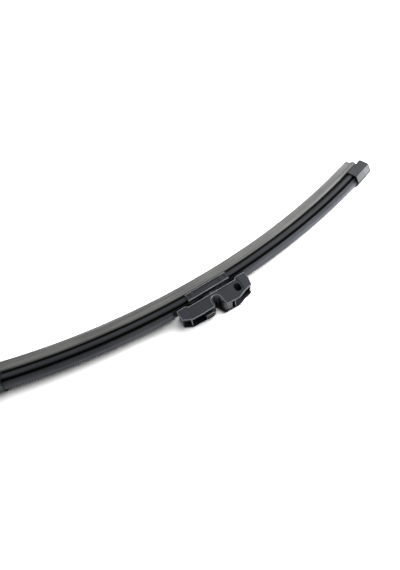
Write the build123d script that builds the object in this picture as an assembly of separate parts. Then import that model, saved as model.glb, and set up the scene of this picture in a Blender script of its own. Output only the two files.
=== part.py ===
from build123d import *
import math
import os

# Beam wiper blade with a clip-on adapter for a top-lock wiper arm, lying on its side.
# X runs along the blade, +Y points to the wiping lip, -Y to the wiper arm, and Z is up.
# Cross sections are drawn in (side, height): side runs along Z from the blade's middle plane,
# and height is measured from the spoiler's groove line, positive towards the wiper arm.
# Side profiles are drawn in (along, height), with the blade's middle at 0.

# The whole blade, bowed and unloaded
BLADE_LENGTH = 406.0
BOW_RADIUS = 665.0
FIT = 0.1

# Spring rails, one in each side of the rubber
RAIL_THICKNESS = 0.9
RAIL_WIDTH = 4.3
RAIL_INNER_EDGE = 1.4
RAIL_DEPTH = 4.5

# Rubber: head with the rail grooves, neck, shoulders and lip
HEAD_WIDTH = 6.4
HEAD_TOP_THICKNESS = 1.6
HEAD_FOOT_THICKNESS = 1.6
NECK_WIDTH = 1.6
NECK_HEIGHT = 2.7
SHOULDER_WIDTH = 7.8
SHOULDER_HEIGHT = 1.1
SHOULDER_SLOPE = 0.5
SHOULDER_EDGE = 0.9
LIP_DEPTH = 19.9
LIP_HEIGHT = 4.6
LIP_ROOT_WIDTH = 1.9
LIP_EDGE_WIDTH = 0.7
LIP_STEP = 0.5

# Spoilers: claws round the rails, a groove, a bead and the fin
CLAW_WALL = 0.9
CLAW_HOOK_THICKNESS = 0.95
CLAW_HOOK_REACH = 1.4
CLAW_CROWN = 2.85
GROOVE_HEIGHT = 1.55
GROOVE_DEPTH = 3.0
BEAD_HEIGHT = 0.4
BEAD_SETBACK = 1.1
FIN_SETBACK = 0.25
FIN_HEIGHT = 5.3
FIN_TIP_WIDTH = 1.3
FIN_HOLLOW_FRONT = 0.6
FIN_HOLLOW_REAR = 0.4
FIN_GAP_LEFT = 3.0
FIN_GAP_RIGHT = 1.0
CLAW_GAP = 0.3

# Base that clamps the rails and carries the pivot
BASE_LENGTH = 40.0
BASE_WIDTH = 15.2
BASE_CROWN = 4.1
BASE_HOOK_THICKNESS = 1.9
BASE_EDGE = 0.5
BASE_PANEL_LENGTH = 25.0
BASE_PANEL_HEIGHT = 4.2
BASE_POCKET_LENGTH = 3.2
BASE_POCKET_MARGIN = 1.4
BASE_RECESS = 0.6
WEB_LENGTH = 13.0
WEB_WIDTH = 6.2
PIVOT_RISE = 3.0
PIVOT_RADIUS = 1.8
PIVOT_BOSS_WALL = 1.1
PIVOT_RUNNING = 0.05
PIVOT_EDGE = 0.3

# Adapter: two side walls with raised end pads, joined by the pin seat, deck, ribs and end walls
ADAPTER_LENGTH = 66.4
ADAPTER_WIDTH = 16.0
PAD_HEIGHT = 0.4
PAD_LENGTH = 8.2
WALL_THICKNESS = 1.7
WAIST_GAP = 4.4
PAD_DROP = 1.7
PAD_DROP_RUN = 1.5
LEFT_END_TOP = 12.2
LEFT_SHOULDER_TOP = 16.1
LEFT_SHOULDER_RUN = 7.5
LEFT_CREST_TOP = 16.7
LEFT_CREST_RUN = 18.6
LEFT_MOUTH_TOP = 16.5
RIGHT_MOUTH_TOP = 20.2
RIGHT_CREST_TOP = 20.8
RIGHT_CREST_RUN = 16.0
RIGHT_SHOULDER_TOP = 18.1
RIGHT_SHOULDER_RUN = 8.9
RIGHT_END_TOP = 16.5
RIGHT_END_RUN = 1.4
RIGHT_END_KNEE = 9.6
CORNER_RADIUS = 0.8
WALL_EDGE = 0.5
WALL_RIM = 1.3
WALL_RECESS = 0.3
SLOT_ALONG = 20.8
SLOT_HEIGHT = 11.8
SLOT_WIDTH = 5.6
SLOT_LENGTH = 8.2
END_WALL = 1.1
END_WALL_FOOT = 5.3
RIB_THICKNESS = 0.9
RIB_PLACES = (9.8, 13.3)
LEFT_RIB_PLACE = -26.2
LEFT_RIB_TOP = 15.0
RIB_FOOT = 6.0
RIB_SETBACK = 0.6
RIB_EDGE = 0.3

# Pin seat for the wiper arm's cross pin, a trough between the walls with an open mouth
SEAT_RADIUS = 3.0
SEAT_HEIGHT = 11.8
SEAT_WALL = 1.4
SEAT_LEFT_TOP = 14.2
MOUTH_LEFT = 4.4
MOUTH_RIGHT = 4.8
SEAT_INSET = 0.6
LOWER_MOUTH_RIGHT = 2.6
LOWER_MOUTH_LEAN = 3.4
SADDLE_RADIUS = 4.0
SADDLE_TOP = 19.6
DECK_END = 9.4
LUG_WALL = 1.4
LUG_THICKNESS = 1.8
LUG_GAP = 0.3
SNAP_MOUTH = 3.0
SNAP_DROP = 1.0

# Latch lever with its release button
LEVER_ALONG = -23.0
LEVER_HEIGHT = 8.8
BARREL_RADIUS = 1.5
BARREL_RUNNING = 0.05
BARREL_END_GAP = 0.4
SOCKET_WALL = 1.3
SOCKET_MOUTH = 2.7
TONGUE_THICKNESS = 1.5
TONGUE_WIDTH = 7.8
BUTTON_START = -14.0
BUTTON_END = -6.0
BUTTON_TOP = 18.8
BUTTON_FOOT = 8.0
BUTTON_EDGE = 0.5
BUTTON_ROUND = 2.2
BUTTON_CORE_WALL = 1.5
BUTTON_CORE_ROOF = 3.0

# End caps over the rail ends
CAP_LENGTH = 22.0
CAP_WALL = 1.15
CAP_END_WALL = 1.8
CAP_CLEARANCE = 0.15
CAP_END_GAP = 0.2
CAP_EDGE = 0.9
CAP_LIP_REACH = 2.8

# Levels and edges that several pieces share
rail_outer_edge = RAIL_INNER_EDGE + RAIL_WIDTH
rail_top = -RAIL_DEPTH + RAIL_THICKNESS / 2
rail_bottom = -RAIL_DEPTH - RAIL_THICKNESS / 2
slot_outer = rail_outer_edge + FIT
slot_top = rail_top + FIT
slot_bottom = rail_bottom - FIT
head_half = HEAD_WIDTH / 2
head_top = slot_top + HEAD_TOP_THICKNESS
head_foot = slot_bottom - HEAD_FOOT_THICKNESS
shoulder_top = head_foot - NECK_HEIGHT
claw_outer = slot_outer + CLAW_WALL
claw_top = slot_top + CLAW_CROWN
claw_bottom = slot_bottom - CLAW_HOOK_THICKNESS
bead_bottom = claw_top + GROOVE_HEIGHT
bead_top = bead_bottom + BEAD_HEIGHT
bead_middle = (bead_bottom + bead_top) / 2
bead_side = claw_outer - BEAD_SETBACK
base_top = rail_top + BASE_CROWN
base_bottom = slot_bottom - BASE_HOOK_THICKNESS
pivot_height = base_top + PIVOT_RISE
boss_radius = PIVOT_RADIUS + PIVOT_BOSS_WALL
lug_inner = WEB_WIDTH / 2 + LUG_GAP
lug_outer = lug_inner + LUG_THICKNESS
adapter_half = ADAPTER_LENGTH / 2
pad_start = adapter_half - PAD_LENGTH
wall_outer = ADAPTER_WIDTH / 2 - PAD_HEIGHT
wall_inner = wall_outer - WALL_THICKNESS
wall_foot = base_top + WAIST_GAP
pad_foot = wall_foot - PAD_DROP
cap_start = BLADE_LENGTH / 2 - CAP_LENGTH
core_end = BLADE_LENGTH / 2 - CAP_END_WALL - CAP_END_GAP
highest = RIGHT_CREST_TOP
floor_side = ADAPTER_WIDTH / 2

# Planes for cross sections (side, height) and for side profiles (along, height)
SECTION = Plane((0, 0, 0), x_dir=(0, 0, 1), z_dir=(1, 0, 0))
BOW_AXIS = Axis((0, BOW_RADIUS, 0), (0, 0, 1))


def outline(*points):
    """A flat face bounded by straight lines."""
    return make_face(Polyline(*points, close=True))


def block(left, right, bottom, top):
    """A rectangle between two places and two heights."""
    return Pos((left + right) / 2, (bottom + top) / 2) * Rectangle(right - left, top - bottom)


def both_sides(half):
    """A half section and its mirror image about the middle plane."""
    return half + mirror(half, Plane.YZ)


def along_bow(section, start, end):
    """A cross section carried along the bow between two places on the groove line."""
    turned = (SECTION * section).rotate(BOW_AXIS, math.degrees(start / BOW_RADIUS))
    return revolve(turned, BOW_AXIS, math.degrees((end - start) / BOW_RADIUS))


def slab(profile, low, high):
    """A side profile made solid between two sides of the blade."""
    plane = Plane((0, 0, high), x_dir=(1, 0, 0), z_dir=(0, 0, -1))
    return extrude(plane * profile, high - low)


def twin_slabs(profile, inner, outer):
    """The same slab on the upper and the lower side of the blade."""
    return slab(profile, inner, outer) + slab(profile, -outer, -inner)


def rubber_section():
    lip_edge = -LIP_DEPTH
    lip_root = lip_edge + LIP_HEIGHT
    shoulder_edge = shoulder_top - SHOULDER_SLOPE
    half = outline(
        (0, head_top),
        (head_half, head_top),
        (head_half, slot_top),
        (RAIL_INNER_EDGE - FIT, slot_top),
        (RAIL_INNER_EDGE - FIT, slot_bottom),
        (head_half, slot_bottom),
        (head_half, head_foot),
        (NECK_WIDTH / 2, head_foot),
        (NECK_WIDTH / 2, shoulder_top),
        (SHOULDER_WIDTH / 2 - SHOULDER_EDGE, shoulder_edge + SHOULDER_EDGE / 2),
        (SHOULDER_WIDTH / 2, shoulder_edge - SHOULDER_EDGE),
        (SHOULDER_WIDTH / 2, shoulder_edge - SHOULDER_EDGE - SHOULDER_HEIGHT),
        (LIP_ROOT_WIDTH / 2 + LIP_STEP, lip_root),
        (LIP_ROOT_WIDTH / 2, lip_root),
        (LIP_EDGE_WIDTH / 2, lip_edge),
        (0, lip_edge),
    )
    return both_sides(half)


def rail_section():
    return block(RAIL_INNER_EDGE, rail_outer_edge, rail_bottom, rail_top)


def spoiler_foot_section():
    """Claws, groove and bead, open below round the rails and the rubber's head."""
    pocket_half = head_half + FIT
    bulge = (claw_top + claw_bottom) / 2
    hook_inner = slot_outer - CLAW_HOOK_REACH
    edge = Polyline(
        (claw_outer - CLAW_WALL, claw_bottom),
        (hook_inner, claw_bottom),
        (hook_inner, slot_bottom),
        (slot_outer, slot_bottom),
        (slot_outer, slot_top),
        (pocket_half, slot_top),
        (pocket_half, head_top + FIT),
        (0, head_top + FIT),
        (0, bead_top),
        (bead_side, bead_top),
        (bead_side, bead_bottom),
        (claw_outer - GROOVE_DEPTH, bead_bottom),
        (claw_outer - GROOVE_DEPTH, claw_top),
        (claw_outer - CLAW_WALL, claw_top),
    )
    back = ThreePointArc(edge @ 1, (claw_outer, bulge), edge @ 0)
    return both_sides(make_face(edge + back))


def fin_section():
    """The fin, rooted in the bead, hollow on the side that faces up and fuller on the other."""
    foot = bead_side - FIN_SETBACK
    tip = FIN_TIP_WIDTH / 2
    tip_shoulder = FIN_HEIGHT - tip
    middle = Vector(foot + tip, bead_top + tip_shoulder) / 2
    inwards = Vector(tip_shoulder - bead_top, foot - tip).normalized()
    front_middle = middle - inwards * FIN_HOLLOW_FRONT
    rear_middle = middle - inwards * FIN_HOLLOW_REAR
    front = ThreePointArc((foot, bead_top), front_middle, (tip, tip_shoulder))
    crown = ThreePointArc((tip, tip_shoulder), (0, FIN_HEIGHT), (-tip, tip_shoulder))
    rear = ThreePointArc(
        (-tip, tip_shoulder), (-rear_middle.X, rear_middle.Y), (-foot, bead_top)
    )
    root = Polyline(rear @ 1, (-foot, bead_middle), (foot, bead_middle), front @ 0)
    return make_face(front + crown + rear + root)


def spoiler(fin_gap):
    """The right-hand spoiler: its fin is cut back to leave room for the adapter."""
    fin_start = adapter_half + fin_gap
    foot = along_bow(spoiler_foot_section(), BASE_LENGTH / 2 + CLAW_GAP, core_end)
    return foot + along_bow(fin_section(), fin_start, core_end)


def base_channel():
    """The room that the rails and the rubber take inside the base."""
    rails = block(-slot_outer, slot_outer, slot_bottom, slot_top)
    head = block(-head_half - FIT, head_half + FIT, base_bottom - BASE_HOOK_THICKNESS, head_top + FIT)
    return along_bow(rails + head, -BASE_LENGTH, BASE_LENGTH)


def base():
    half = BASE_LENGTH / 2
    side = BASE_WIDTH / 2
    middle = (base_bottom + base_top) / 2
    body = slab(block(-half, half, base_bottom, base_top), -side, side)
    body = chamfer(body.edges().filter_by(Axis.X) + body.edges().filter_by(Axis.Z), BASE_EDGE)
    panel = Pos(0, middle) * RectangleRounded(BASE_PANEL_LENGTH, BASE_PANEL_HEIGHT, BASE_EDGE)
    pocket_place = half - BASE_POCKET_MARGIN - BASE_POCKET_LENGTH / 2
    pocket = RectangleRounded(BASE_POCKET_LENGTH, BASE_PANEL_HEIGHT, BASE_EDGE)
    recesses = panel + Pos(-pocket_place, middle) * pocket + Pos(pocket_place, middle) * pocket
    body -= twin_slabs(recesses, side - BASE_RECESS, side)
    boss = Pos(0, pivot_height) * Circle(boss_radius)
    foot = block(-WEB_LENGTH / 2, WEB_LENGTH / 2, base_top - BASE_EDGE, base_top)
    web = make_hull(boss.edges() + foot.edges())
    body += slab(web, -WEB_WIDTH / 2, WEB_WIDTH / 2)
    body -= slab(Pos(0, pivot_height) * Circle(PIVOT_RADIUS), -BASE_WIDTH, BASE_WIDTH)
    return body - base_channel()


def pivot_pin():
    """Rivet through the base's web, with chamfered ends for the adapter's snap bearings."""
    pin = slab(Pos(0, pivot_height) * Circle(PIVOT_RADIUS), -lug_outer, lug_outer)
    return chamfer(pin.edges().filter_by(GeomType.CIRCLE), PIVOT_EDGE)


def notch_profile():
    """The arm pin's way in through the upper wall: round below and open above."""
    above = highest + MOUTH_LEFT
    mouth = outline(
        (-MOUTH_LEFT, SEAT_HEIGHT),
        (-MOUTH_LEFT, above),
        (MOUTH_RIGHT, above),
        (MOUTH_RIGHT, RIGHT_MOUTH_TOP),
        (MOUTH_LEFT, SEAT_HEIGHT),
    )
    return mouth + Pos(0, SEAT_HEIGHT) * Circle(MOUTH_LEFT)


def lower_notch_profile():
    """The narrower, leaning notch in the lower wall, which stops the pin's end."""
    above = highest + MOUTH_LEFT
    return outline(
        (-MOUTH_LEFT, SEAT_HEIGHT),
        (-MOUTH_LEFT, above),
        (LOWER_MOUTH_RIGHT, above),
        (LOWER_MOUTH_RIGHT, RIGHT_MOUTH_TOP),
        (LOWER_MOUTH_RIGHT - LOWER_MOUTH_LEAN, SEAT_HEIGHT),
    )


def wall_profile(notch):
    """Outline of a side wall with its notch and rounded corners."""
    drop_start = pad_start - CORNER_RADIUS
    profile = outline(
        (-adapter_half, pad_foot),
        (-adapter_half, LEFT_END_TOP),
        (LEFT_SHOULDER_RUN - adapter_half, LEFT_SHOULDER_TOP),
        (LEFT_CREST_RUN - adapter_half, LEFT_CREST_TOP),
        (-MOUTH_LEFT, LEFT_MOUTH_TOP),
        (LOWER_MOUTH_RIGHT, RIGHT_MOUTH_TOP),
        (MOUTH_RIGHT, RIGHT_MOUTH_TOP),
        (adapter_half - RIGHT_CREST_RUN, RIGHT_CREST_TOP),
        (adapter_half - RIGHT_SHOULDER_RUN, RIGHT_SHOULDER_TOP),
        (adapter_half - RIGHT_END_RUN, RIGHT_END_TOP),
        (adapter_half, RIGHT_END_KNEE),
        (adapter_half, pad_foot),
        (drop_start, pad_foot),
        (drop_start - PAD_DROP_RUN, wall_foot),
        (PAD_DROP_RUN - drop_start, wall_foot),
        (-drop_start, pad_foot),
    )
    profile -= notch
    corners = [v for v in profile.vertices() if round(v.Y, 3) != SEAT_HEIGHT]
    return fillet(corners, CORNER_RADIUS)


def raised_pad(profile, start, end):
    """The stretch of wall at one end that stands proud and bears on the wiper arm."""
    pad = slab(profile & block(start, end, 0, highest), wall_inner, wall_outer + PAD_HEIGHT)
    rim = pad.faces().sort_by(Axis.Z)[-1].edges().sort_by(lambda edge: abs(edge.center().X))
    return chamfer(rim[1:], WALL_EDGE)


def side_wall(notch):
    """The upper wall with softened outer edges, raised end pads and rimmed panels."""
    profile = wall_profile(notch)
    panels = block(-pad_start, -MOUTH_LEFT, wall_foot, highest)
    panels += block(MOUTH_RIGHT, pad_start, wall_foot, highest)
    panels &= offset(profile, -WALL_RIM)
    wall = slab(profile, wall_inner, wall_outer)
    wall = chamfer(wall.faces().sort_by(Axis.Z)[-1].edges(), WALL_EDGE)
    wall -= slab(panels, wall_outer - WALL_RECESS, wall_outer)
    wall += raised_pad(profile, -adapter_half, -pad_start)
    return wall + raised_pad(profile, pad_start, adapter_half)


def side_walls():
    """Both walls, the upper one with the slot for the arm's side peg."""
    slot = Pos(SLOT_ALONG, SLOT_HEIGHT) * SlotOverall(SLOT_LENGTH, SLOT_WIDTH, 90)
    upper = side_wall(notch_profile()) - slab(slot, 0, ADAPTER_WIDTH)
    return upper + mirror(side_wall(lower_notch_profile()), Plane.XY)


def trough():
    """Ring that seats the arm's pin, open above, with a rounded saddle and a deck beside it."""
    outer = SEAT_RADIUS + SEAT_WALL
    saddle_start = SADDLE_TOP - SADDLE_RADIUS
    saddle_centre = SEAT_RADIUS + SADDLE_RADIUS
    seat = Pos(0, SEAT_HEIGHT) * (Circle(outer) - Circle(SEAT_RADIUS))
    seat &= block(-outer, outer, 0, SEAT_HEIGHT)
    seat += block(-outer, -SEAT_RADIUS, SEAT_HEIGHT, SEAT_LEFT_TOP)
    seat += block(SEAT_RADIUS, outer, SEAT_HEIGHT, saddle_start)
    saddle = Circle(SADDLE_RADIUS) - Circle(SADDLE_RADIUS - SEAT_WALL)
    saddle = Pos(saddle_centre, saddle_start) * saddle
    saddle &= block(SEAT_RADIUS, saddle_centre, saddle_start, SADDLE_TOP)
    saddle += block(saddle_centre, DECK_END, SADDLE_TOP - SEAT_WALL, SADDLE_TOP)
    ring_end = wall_outer - SEAT_INSET
    return slab(seat, -ring_end, ring_end) + slab(saddle, -wall_inner, wall_inner)


def pivot_lugs():
    """Two snap bearings that hang from the trough and clip over the pivot pin."""
    radius = PIVOT_RADIUS + PIVOT_RUNNING
    outer = radius + LUG_WALL
    lug = Pos(0, pivot_height) * Circle(outer) + block(-outer, outer, pivot_height, SEAT_HEIGHT)
    lug -= block(-outer, outer, pivot_height - 2 * outer, pivot_height - SNAP_DROP)
    lug -= Pos(0, pivot_height) * Circle(radius)
    lug -= block(-SNAP_MOUTH / 2, SNAP_MOUTH / 2, pivot_height - outer, pivot_height)
    lug -= Pos(0, SEAT_HEIGHT) * Circle(SEAT_RADIUS)
    return twin_slabs(lug, lug_inner, lug_outer)


def lever_socket():
    """Snap bearing for the latch lever's barrel, across the whole inside."""
    radius = BARREL_RADIUS + BARREL_RUNNING
    outer = radius + SOCKET_WALL
    socket = Circle(outer) - Circle(radius)
    socket -= block(0, outer, -SOCKET_MOUTH / 2, SOCKET_MOUTH / 2)
    return slab(Pos(LEVER_ALONG, LEVER_HEIGHT) * socket, -wall_inner, wall_inner)


def end_walls():
    """Cross walls that follow the side walls' ends, and the plate that closes the right half."""
    left = block(-adapter_half, -adapter_half + END_WALL, END_WALL_FOOT, LEFT_END_TOP - END_WALL)
    knee = adapter_half - END_WALL
    right = outline(
        (knee, END_WALL_FOOT),
        (adapter_half, END_WALL_FOOT),
        (adapter_half, RIGHT_END_KNEE),
        (adapter_half - RIGHT_END_RUN, RIGHT_END_TOP - END_WALL),
        (knee - RIGHT_END_RUN, RIGHT_END_TOP - END_WALL),
        (knee, RIGHT_END_KNEE),
    )
    plate = block(RIB_PLACES[0], knee, END_WALL_FOOT, END_WALL_FOOT + END_WALL)
    return slab(left + right + plate, -wall_inner, wall_inner)


def cross_ribs():
    """Stiffening ribs from wall to wall, one beside the lever's socket and two beside the deck."""
    tops = {place: RIGHT_MOUTH_TOP - RIB_SETBACK for place in RIB_PLACES}
    tops[LEFT_RIB_PLACE] = LEFT_RIB_TOP
    half = RIB_THICKNESS / 2
    ribs = []
    for place, top in tops.items():
        rib = block(place - half, place + half, RIB_FOOT, top)
        rib = chamfer(rib.vertices().sort_by(Axis.Y)[2:], RIB_EDGE)
        ribs.append(slab(rib, -wall_inner, wall_inner))
    return Part() + ribs


def adapter():
    return side_walls() + trough() + pivot_lugs() + lever_socket() + end_walls() + cross_ribs()


def latch_lever():
    """Barrel in its socket, a flat tongue and the raised release button, cored from below."""
    half = TONGUE_WIDTH / 2
    barrel = Pos(LEVER_ALONG, LEVER_HEIGHT) * Circle(BARREL_RADIUS)
    barrel_half = wall_inner - BARREL_END_GAP
    tongue = block(
        LEVER_ALONG,
        BUTTON_START + BUTTON_EDGE,
        LEVER_HEIGHT - TONGUE_THICKNESS / 2,
        LEVER_HEIGHT + TONGUE_THICKNESS / 2,
    )
    button = slab(block(BUTTON_START, BUTTON_END, BUTTON_FOOT, BUTTON_TOP), -half, half)
    button = fillet(button.edges().filter_by(Axis.Y).sort_by(Axis.X)[2:], BUTTON_ROUND)
    button = chamfer(button.faces().sort_by(Axis.Y)[0].edges(), BUTTON_EDGE)
    core = block(
        BUTTON_START + BUTTON_CORE_WALL,
        BUTTON_END - BUTTON_CORE_WALL,
        BUTTON_FOOT,
        BUTTON_TOP - BUTTON_CORE_ROOF,
    )
    button -= slab(core, BUTTON_CORE_WALL - half, half - BUTTON_CORE_WALL)
    lever = slab(barrel, -barrel_half, barrel_half) + slab(tongue, -half, half)
    return lever + button


def cap_envelope(margin):
    """Outline round the spoiler's section, wider all round by a margin."""
    side = claw_outer + margin
    tip = FIN_TIP_WIDTH + margin
    half = outline(
        (0, claw_bottom - margin),
        (side, claw_bottom - margin),
        (side, bead_top + margin),
        (tip, FIN_HEIGHT - FIN_TIP_WIDTH / 2 + margin),
        (0, FIN_HEIGHT + margin),
    )
    return both_sides(half)


def end_cap():
    """The right-hand cap: a tapered shell, open below for the rubber's neck."""
    end = BLADE_LENGTH / 2
    outer = along_bow(cap_envelope(CAP_CLEARANCE + CAP_WALL), cap_start, end)
    outer = chamfer(outer.faces().sort_by(Axis.X)[-1].edges(), CAP_EDGE)
    room = along_bow(cap_envelope(CAP_CLEARANCE), cap_start - CAP_LENGTH, end - CAP_END_WALL)
    neck_half = claw_outer + CAP_CLEARANCE - CAP_LIP_REACH
    neck_foot = claw_bottom - CAP_CLEARANCE - 2 * CAP_WALL
    neck = block(-neck_half, neck_half, neck_foot, slot_bottom)
    return outer - room - along_bow(neck, cap_start - CAP_LENGTH, end - CAP_END_WALL)


def left_of(part):
    """The same piece for the other end of the blade."""
    return mirror(part, Plane.YZ)


cap_angle = core_end / BOW_RADIUS
lip_reach = BOW_RADIUS - (BOW_RADIUS - LIP_DEPTH) * math.cos(cap_angle)
to_floor_centre = Pos(0, (highest - lip_reach) / 2, floor_side)

rail = along_bow(rail_section(), -core_end, core_end)
pieces = {
    "wiper_rubber": along_bow(rubber_section(), -core_end, core_end),
    "rail_upper": rail,
    "rail_lower": mirror(rail, Plane.XY),
    "spoiler_left": left_of(spoiler(FIN_GAP_LEFT)),
    "spoiler_right": spoiler(FIN_GAP_RIGHT),
    "connector_base": base(),
    "pivot_pin": pivot_pin(),
    "adapter": adapter(),
    "latch_lever": latch_lever(),
    "end_cap_left": left_of(end_cap()),
    "end_cap_right": end_cap(),
}

os.makedirs("parts", exist_ok=True)
for name, piece in pieces.items():
    export_step(to_floor_centre * piece, f"parts/{name}.step")
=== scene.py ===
import math

import bmesh
import bpy
from bpy.props import FloatProperty, FloatVectorProperty, IntProperty, PointerProperty
from mathutils import Matrix, Vector


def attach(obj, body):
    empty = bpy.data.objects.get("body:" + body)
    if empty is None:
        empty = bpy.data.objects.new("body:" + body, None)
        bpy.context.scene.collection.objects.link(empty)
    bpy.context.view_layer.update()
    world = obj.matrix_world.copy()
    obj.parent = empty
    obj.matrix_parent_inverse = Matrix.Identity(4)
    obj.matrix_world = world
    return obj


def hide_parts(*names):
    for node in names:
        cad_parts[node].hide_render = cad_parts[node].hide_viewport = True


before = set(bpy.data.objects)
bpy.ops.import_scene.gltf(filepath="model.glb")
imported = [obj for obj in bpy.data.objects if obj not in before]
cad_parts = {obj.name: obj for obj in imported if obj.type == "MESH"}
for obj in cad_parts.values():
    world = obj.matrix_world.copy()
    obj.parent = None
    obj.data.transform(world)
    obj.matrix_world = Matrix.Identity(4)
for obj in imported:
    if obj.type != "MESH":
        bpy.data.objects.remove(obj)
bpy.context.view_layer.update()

bl_info = {
    "name": "Beam wiper blade",
    "version": (1, 0, 0),
    "blender": (4, 5, 0),
    "location": "3D View > Sidebar > Wiper blade",
    "description": "Dresses a beam wiper blade with its rubber, spoilers, finishes and studio",
    "category": "Object",
}

MM = 0.001

# How finely the swept sections are drawn
CORNER_STEPS = 3
CORNER_SHARE = 0.45  # most of a side that one corner's rounding may take
SHARP_REACH = 1e-6  # a corner whose rounding is smaller stays sharp
SHOULDER_STEPS = 6
CLAW_STEPS = 8
FIN_STEPS = 10
CROWN_STEPS = 6
SHARP_ANGLE = math.radians(40)

# Each flank ridge: share of its room, and how far it stands out as a share of its height
RIDGE_POINTS = ((0.25, -0.5), (0.5, 0.5), (0.75, -0.5))

# Node groups, and the inputs of the sweep that describe the bow
SWEEP_NAME = "Sweep along the bow"
COORDINATES_NAME = "Bow coordinates"
BOW_INPUTS = ("Bow Radius", "Groove Line", "Middle Plane", "Step")

# Noise cycles per metre: along the bow, up the section and across it, or the same each way
STREAK_STRETCH = (9.0, 750.0, 750.0)
CLOUD_STRETCH = (30.0, 120.0, 120.0)
ROLLED_STRETCH = (25.0, 2500.0, 2500.0)
TURNED_STRETCH = (300.0, 300.0, 6000.0)
ELASTOMER_GRAIN = 5200.0
PLASTIC_GRAIN = 3600.0
PLASTIC_CLOUDS = 90.0
FLOOR_CLOUDS = 9.0

# Parts of a noise's range over which tones and roughness change
TONE_SPAN = (0.36, 0.64)
SHEEN_SPAN = (0.35, 0.65)
GRAIN_SPAN = (0.3, 0.7)
PATCH_SPAN = (0.3, 0.6)

# Strength of each relief, and the depth of the moulded grain and of the marks in steel
STREAK_RELIEF = 0.6
PLASTIC_RELIEF = 0.5
PLASTIC_GRAIN_DEPTH = 0.04 * MM
STEEL_RELIEF = 0.3
STEEL_MARK_DEPTH = 0.02 * MM

# Elastomers: the streaks' share of the tone, the grain's height against the streaks,
# the roughness added where the tone is deepest, and the turn at which a face counts as cut
STREAK_SHARE = 0.7
GRAIN_HEIGHT = 0.35
DEEP_ROUGHNESS = 0.4
CUT_SPAN = (0.7, 0.9)

# Painted light and shade by height, as factors of the elastomer's own colour
LIP_TONE = 1.0
# painted shade at the rubber's neck, in the gap between it and the claws
NECK_SHADE = 0.06
# painted shade under the claws' hooks
HOOK_SHADE = 0.05
# painted highlight along the claws' bulge, and painted shade at their upper edge and in the groove
CLAW_HIGHLIGHT = 1.55
CLAW_EDGE_SHADE = 0.1
GROOVE_SHADE = 0.02
# painted highlight on the bead, and painted light on the fin rising towards its tip
BEAD_HIGHLIGHT = 0.7
FIN_FOOT_LIGHT = 3.1
FIN_TIP_LIGHT = 4.8
SPOILER_CUT_TONE = 2.0

# Painted highlights on the moulded edges by how a face is turned: on bevels, in patches, and less
# on faces to the right and to the front, as the light falls
BEVEL_SPAN = (0.74, 0.84)
RIGHT_SPAN = (0.25, 0.6)
RIGHT_HIGHLIGHT = (1.0, 0.15)
FRONT_SPAN = (-0.7, 0.3)
FRONT_HIGHLIGHT = (0.5, 1.0)
PATCH_HIGHLIGHT = (0.6, 1.0)

# Painted highlights on faces to the front between the walls: on the ribs, and less on the saddle
LEDGE_SPAN = (-0.9, -0.3)
SADDLE_HIGHLIGHT = 0.25

# Tones as factors of the material's own colour: troughs and crests of the clouds in the plastic,
# painted shade on its faces below the pads, and the marks in steel
PLASTIC_TONES = (0.8, 1.2)
SUNK_SHADE = 0.6
STEEL_MARK_TONE = 0.75

# Floor: half its width, its faint clouds, and how it brightens far away to stay white
FLOOR_REACH = 4.0
FLOOR_CLOUD_TONE = 0.99
GLOW_SPAN = (0.2, 0.8)
GLOW_RISE = 3.0

# Where the even light is strongest, the background's colour, and the nearest point the camera shows
SKY_BEARING = Vector((0.0, 0.6, 0.8))
WHITE = (1.0, 1.0, 1.0, 1.0)
CLIP_START = 0.01


def length(name, description, millimetres):
    """A size in millimetres, kept in metres as a Blender length."""
    return FloatProperty(
        name=name, description=description, default=millimetres * MM, unit="LENGTH", precision=5
    )


def angle(name, description, degrees):
    """An angle in degrees, kept in radians."""
    return FloatProperty(
        name=name, description=description, default=math.radians(degrees), subtype="ANGLE"
    )


def point(name, description, x, y, z):
    """A place in metres."""
    return FloatVectorProperty(
        name=name, description=description, default=(x, y, z), subtype="TRANSLATION", size=3
    )


def power(name, description, watts):
    """A lamp's power in watts."""
    return FloatProperty(name=name, description=description, default=watts, unit="POWER", min=0.0)


def level(name, description, value):
    """A factor without a unit."""
    return FloatProperty(name=name, description=description, default=value, min=0.0)


def colour(name, description, red, green, blue):
    """A linear colour without alpha."""
    return FloatVectorProperty(
        name=name, description=description, default=(red, green, blue),
        subtype="COLOR", size=3, min=0.0, max=1.0,
    )


def roughness_pair(name, description, smooth, rough):
    """The least and the greatest roughness of a material."""
    return FloatVectorProperty(
        name=name, description=description, default=(smooth, rough), size=2, min=0.0, max=1.0
    )


class BowSizes(bpy.types.PropertyGroup):
    """The bow that every extrusion of the blade follows."""

    radius: length("Bow radius", "Radius of the groove line of the unloaded blade", 665.0)
    groove_line: length("Groove line", "Where the groove line crosses the middle, along Y", -14.172)
    middle_plane: length("Middle plane", "Height of the blade's middle plane above the floor", 8.0)
    reach: length("Reach", "Half the length of the rubber along the bow", 201.0)
    step: length("Step", "Length of one facet along the bow", 2.0)


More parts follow.
